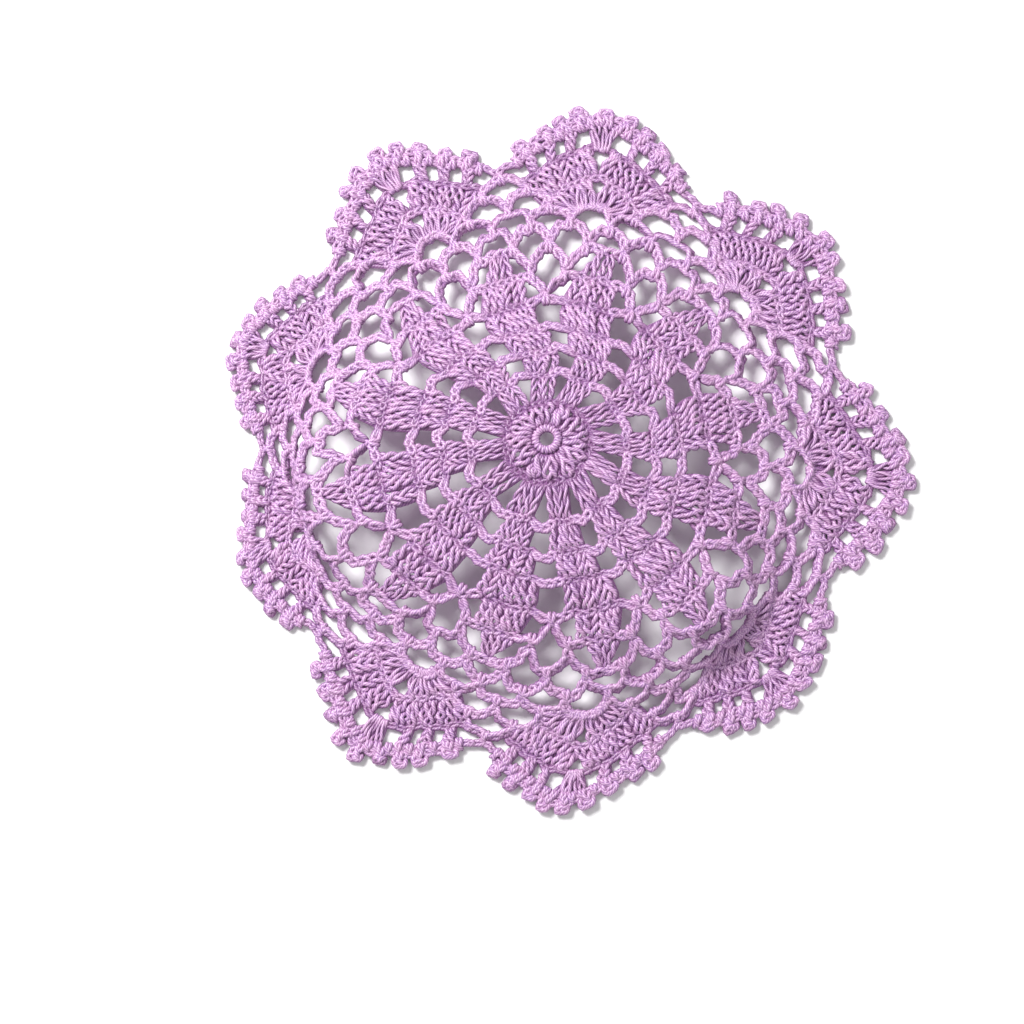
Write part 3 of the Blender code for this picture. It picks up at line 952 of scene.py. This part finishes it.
def net_loop(lace, start, crest, end, fullness):
    """A chain from start to end, which are (radius, heading), over a crest at a radius."""
    share = np.linspace(0.0, 1.0, NET_POINTS)
    bend = 1.0 - np.abs(2.0 * share - 1.0) ** fullness
    base = start[0] + (end[0] - start[0]) * share
    radii = base + (crest - (start[0] + end[0]) / 2.0) * bend
    headings = start[1] + (end[1] - start[1]) * share
    line = np.array([polar(radius, heading) for radius, heading in zip(radii, headings)])
    lace.chain(line, width=NET_WIDTH, girth=NET_GIRTH,
               roll=lace.dice.normal(0.0, NET_ROLL))


def net_arch(lace, row, heading, crest=None):
    """The chain of one whole loop of a round of netting, around a heading."""
    net_loop(lace, (row.foot, heading - HALF_LOOP), crest or row.crest,
             (row.foot, heading + HALF_LOOP), LOOP_FULLNESS)


def net_short(lace, radius, heading):
    """A short stitch on the chain of a net."""
    lace.short(polar(radius, heading), polar(1.0, heading), scale=NET_WIDTH)


class DOILY_OT_net(Operator):
    """Work the arms between the leaves and the rounds of netting"""
    bl_idname = "doily.net"
    bl_label = "Netting"

    def execute(self, context):
        lace = Stitches(salt=4)
        for leaf in range(LEAF_COUNT):
            gap = leaf * LEAF_STEP
            net_short(lace, ARM_FORK.anchor, gap)
            for side in (-1, 1):
                net_loop(lace, (ARM_FORK.foot, gap + side * FORK_START), ARM_FORK.crest,
                         (FORK_END[0], gap + side * FORK_END[1]), ARM_FULLNESS)
                net_short(lace, ARM_LOOP.anchor, gap + side * HALF_LOOP)
                net_loop(lace, (ARM_LOOP.foot, gap + side * HALF_LOOP), ARM_LOOP.crest,
                         (POINT_END[0], gap + side * POINT_END[1]), ARM_FULLNESS)
            net_arch(lace, ARM_LOOP, gap)
        add_piece("arms", lace)

        lace = Stitches(salt=8)
        for loop in range(LOOP_COUNT):
            heading = loop * LOOP_STEP
            net_short(lace, INNER_NET.anchor, heading)
            net_arch(lace, INNER_NET, heading + HALF_LOOP)
            net_short(lace, OUTER_NET.anchor, heading + HALF_LOOP)
            under_fan = loop % (LOOP_COUNT // LOBE_COUNT) == 0
            net_arch(lace, OUTER_NET, heading, FAN_LOOP_CREST if under_fan else None)
        for lobe in range(LOBE_COUNT):
            middle = lobe * LOBE_STEP
            valley = middle + LOBE_STEP / 2.0
            for turn in (-LOOP_STEP, 0.0, LOOP_STEP):
                net_short(lace, TENTH_ROUND.anchor, valley + turn)
            for turn in (-HALF_LOOP, HALF_LOOP):
                net_arch(lace, TENTH_ROUND, valley + turn)
                net_short(lace, LAST_ROUND.anchor, valley + turn)
            net_arch(lace, LAST_ROUND, valley)
            net_short(lace, LAST_ROUND.crest, valley)
        add_piece("netting", lace)
        return {"FINISHED"}


def side_distances(arch, count):
    """Distances from the middle of an arch of `count` stitches on one side, and their pitch."""
    pitch = measure(arch)[-1] / count
    return (np.arange(count) + 0.5) * pitch, pitch


class DOILY_OT_fans(Operator):
    """Work the fan at the foot of every lobe and the solid row over it"""
    bl_idname = "doily.fans"
    bl_label = "Fans of the lobes"

    def execute(self, context):
        lace = Stitches(salt=5)
        for lobe in range(LOBE_COUNT):
            for side in (-1, 1):
                first = arch_line(lobe, FIRST_ROW, 0.0, side * 1.0)
                second = arch_line(lobe, SECOND_ROW, 0.0, side * 1.0)
                turns = np.radians((np.arange(FAN_STITCHES) + 0.5) * FAN_TURN / FAN_STITCHES)
                fan_feet = [lobe_point(lobe, side * FAN_FOOT[0] * math.sin(turn),
                                       FAN_FOOT[1] * math.cos(turn) - FAN_FOOT_DROP)
                            for turn in turns]
                self.row(lace, side, fan_feet, FAN_FOOT_PITCH, first, FAN_STITCHES,
                         wrapped=True, turns=FAN_TURNS)
                feet, foot_pitch = side_distances(first, SHELL_STITCHES)
                self.row(lace, side, points_along(first, feet), foot_pitch, second,
                         SHELL_STITCHES)
            lace.chain(arch_line(lobe, FIRST_ROW, -1.0, 1.0), 2 * FAN_STITCHES + 1,
                       sink=FIRST_ROW_SINK)
            lace.chain(arch_line(lobe, SECOND_ROW, -1.0, 1.0), 2 * SHELL_STITCHES + 1,
                       sink=SECOND_ROW_SINK, width=ROW_WIDTH)
        add_piece("lobe_fans", lace)
        return {"FINISHED"}

    def row(self, lace, side, feet, foot_pitch, arch, count, **details):
        """Half a row of tall stitches up to an arch. The one at its middle bows aside."""
        heads, pitch = side_distances(arch, count)
        splays = side * SPLAY * (heads < pitch)
        for foot, head, splay in zip(feet, points_along(arch, heads), splays):
            lace.tall(foot, head, foot_pitch, pitch, splay=splay,
                      lean=EYE_LEAN if splay else 1.0, **details)


def arch_out(lobe, arch, place):
    """Direction straight out of an arch at a place along it, in the chart."""
    near, far = (arch_point(lobe, arch, place + step) for step in (-ARCH_STEP, ARCH_STEP))
    ahead = (far - near) / np.linalg.norm(far - near)
    out = np.array((-ahead[1], ahead[0]))
    return out if out @ lobe_point(lobe, 0.0, 0.0) > 0 else -out


class DOILY_OT_posts(Operator):
    """Work the open row of posts near the edge of every lobe"""
    bl_idname = "doily.posts"
    bl_label = "Posts"

    def execute(self, context):
        lace = Stitches(salt=6)
        for lobe in range(LOBE_COUNT):
            middle = arch_line(lobe, THIRD_ROW, -TIP_SPAN, TIP_SPAN)
            heads = measure(middle)[-1] / 2 + spread(TIP_STITCHES, TIP_REACH)[0]
            for index, head in enumerate(points_along(middle, heads)):
                foot = lobe_point(lobe, (index - (TIP_STITCHES - 1) / 2) * TIP_FOOT_STEP,
                                  SECOND_ROW.top - TIP_FOOT_DROP)
                lace.tall(foot, head, *TIP_PITCH, wrapped=True, lean=POST_LEAN,
                          turns=FAN_TURNS)
            for place in [side * place for side in (-1, 1) for place in POST_PLACES]:
                foot = arch_point(lobe, SECOND_ROW, place)
                head = arch_point(lobe, THIRD_ROW, place)
                out = arch_out(lobe, SECOND_ROW, place)
                aside = np.array((-out[1], out[0]))
                for half in (-1, 1):
                    lace.tall(foot + aside * half * POST_FEET,
                              head + aside * half * POST_HEADS, *POST_PITCH, lean=POST_LEAN)
            line = arch_line(lobe, THIRD_ROW, -POST_PLACES[-1], POST_PLACES[-1])
            valleys = [polar(VALLEY_RADIUS, (lobe + side) * LOBE_STEP) for side in (-0.5, 0.5)]
            lace.chain(np.vstack([valleys[0], line, valleys[1]]), sink=THIRD_ROW_SINK,
                       width=ROW_WIDTH)
        add_piece("lobe_posts", lace)
        return {"FINISHED"}


def picot(lace, foot, out):
    """A small ring of chain on the edge, closed by a turn of thread, and its short stitch."""
    side = np.array((out[1], -out[0]))
    centre = foot + out * PICOT_STAND
    angles = np.radians(np.linspace(-PICOT_OPEN, PICOT_OPEN, PICOT_POINTS))
    tall, wide = np.array(PICOT_RING) * lace.dice.uniform(*PICOT_SIZES, 2)
    narrow = 1.0 - PICOT_NARROW * np.cos(angles)
    ring = (centre + np.outer(tall * np.cos(angles), out)
            + np.outer(wide * narrow * np.sin(angles), side))
    lace.chain(ring, PICOT_LINKS, roll=lace.dice.uniform(-PICOT_ROLL, PICOT_ROLL),
               girth=PICOT_GIRTH)
    knot = centre + lace.stray()
    turn = lace.dice.uniform(-PICOT_TWIST, PICOT_TWIST)
    across = side * math.cos(turn) + out * math.sin(turn)
    lace.strand([(*(knot + across * aside), rise) for aside, rise in PICOT_KNOT])
    lace.short(foot - out * PICOT_FOOT, out, scale=PICOT_FOOT_SIZE)


class DOILY_OT_edge(Operator):
    """Work the edge of short stitches and its picot knots"""
    bl_idname = "doily.edge"
    bl_label = "Edge and picots"

    def execute(self, context):
        lace = Stitches(salt=7)
        picots = [-place for place in PICOT_PLACES[1:]] + list(PICOT_PLACES)
        for lobe in range(LOBE_COUNT):
            lace.chain(arch_line(lobe, EDGE, -EDGE_END, EDGE_END), sink=EDGE_SINK)
            inner = arch_line(lobe, THIRD_ROW, -EDGE_END, EDGE_END)
            count = int(measure(inner)[-1] / SHORT_PITCH)
            for place in np.linspace(-EDGE_END, EDGE_END, count):
                lace.short(arch_point(lobe, THIRD_ROW, place),
                           arch_out(lobe, THIRD_ROW, place))
            for place in picots:
                foot = arch_point(lobe, EDGE, place) + lace.stray(PICOT_STRAY)
                picot(lace, foot, arch_out(lobe, EDGE, place))
        add_piece("edge_and_picots", lace)
        return {"FINISHED"}


class DOILY_OT_cloth(Operator):
    bl_idname = "doily.cloth"
    bl_label = "Declare the cloth"

    def execute(self, context):
        return {"FINISHED"}


# ================================================================ stage
class DOILY_OT_stage(Operator):
    """Set up the pale floor, the soft lights and the camera"""
    bl_idname = "doily.stage"
    bl_label = "Floor, lights and camera"

    def execute(self, context):
        scene = context.scene
        stage = scene.doily_stage

        def add(name, data):
            """Puts a new object in the scene."""
            thing = bpy.data.objects.new(name, data)
            scene.collection.objects.link(thing)
            return thing

        mesh = bpy.data.meshes.new("floor")
        corners = [(x * FLOOR_HALF, y * FLOOR_HALF, 0.0)
                   for x, y in ((-1, -1), (1, -1), (1, 1), (-1, 1))]
        mesh.from_pydata(corners, [], [(0, 1, 2, 3)])
        floor = add("floor", mesh)
        material = bpy.data.materials.new("pale floor")
        material.use_nodes = True
        shader = material.node_tree.nodes["Principled BSDF"]
        shader.inputs["Base Color"].default_value = (*stage.floor, 1.0)
        shader.inputs["Roughness"].default_value = 0.9
        mesh.materials.append(material)

        world = bpy.data.worlds.new("studio")
        world.use_nodes = True
        background = world.node_tree.nodes["Background"]
        background.inputs["Color"].default_value = (1.0, 1.0, 1.0, 1.0)
        background.inputs["Strength"].default_value = WORLD_STRENGTH
        scene.world = world
        for name, place, power, width in LIGHTS:
            lamp = bpy.data.lights.new(name, "AREA")
            lamp.energy = power
            lamp.size = width
            light = add(name, lamp)
            light.location = place
            light.rotation_euler = Vector(place).to_track_quat("Z", "Y").to_euler()
        scene.view_settings.view_transform = "Standard"

        lean, turn = stage.tilt, stage.azimuth
        back = Vector((math.sin(lean) * math.cos(turn), math.sin(lean) * math.sin(turn),
                       math.cos(lean)))
        right = Vector((0.0, 1.0, 0.0)).cross(back).normalized()
        lens = bpy.data.cameras.new("camera")
        lens.sensor_fit = "HORIZONTAL"
        lens.sensor_width = SENSOR_WIDTH
        lens.lens = SENSOR_WIDTH * stage.scale * stage.distance / PHOTO_SIZE
        lens.clip_start = NEAREST
        camera = add("camera", lens)
        rotation = Matrix((right, back.cross(right), back)).transposed().to_4x4()
        place = Vector(CAMERA_TARGET) + back * stage.distance
        camera.matrix_world = Matrix.Translation(place) @ rotation
        scene.camera = camera
        return {"FINISHED"}


PIECES = (DOILY_OT_ring, DOILY_OT_leaves, DOILY_OT_net, DOILY_OT_fans, DOILY_OT_posts,
          DOILY_OT_edge, DOILY_OT_cloth, DOILY_OT_stage)


class DOILY_PT_panel(Panel):
    """Lists the pieces of the doily"""
    bl_idname = "DOILY_PT_panel"
    bl_label = "Lace doily"
    bl_space_type = "VIEW_3D"
    bl_region_type = "UI"
    bl_category = "Doily"

    def draw(self, context):
        for operator in PIECES:
            self.layout.operator(operator.bl_idname)
        for group in (context.scene.doily_thread, context.scene.doily_finish,
                      context.scene.doily_stage):
            box = self.layout.box()
            for name in group.bl_rna.properties.keys():
                if name not in ("rna_type", "name"):
                    box.prop(group, name)


GROUPS = (("doily_thread", DoilyThread), ("doily_finish", DoilyFinish),
          ("doily_stage", DoilyStage))


def register():
    """Add the settings, the operators and the panel."""
    for name, group in GROUPS:
        bpy.utils.register_class(group)
        setattr(bpy.types.Scene, name, PointerProperty(type=group))
    for operator in PIECES:
        bpy.utils.register_class(operator)
    bpy.utils.register_class(DOILY_PT_panel)


def unregister():
    """Take them away again."""
    bpy.utils.unregister_class(DOILY_PT_panel)
    for operator in reversed(PIECES):
        bpy.utils.unregister_class(operator)
    for name, group in reversed(GROUPS):
        delattr(bpy.types.Scene, name)
        bpy.utils.unregister_class(group)


def main():
    """Register the settings, then make the stage and every piece."""
    register()
    bpy.ops.doily.stage()
    bpy.ops.doily.ring()
    bpy.ops.doily.leaves()
    bpy.ops.doily.net()
    bpy.ops.doily.fans()
    bpy.ops.doily.posts()
    bpy.ops.doily.edge()
    bpy.ops.doily.cloth()


if __name__ == "__main__":
    main()
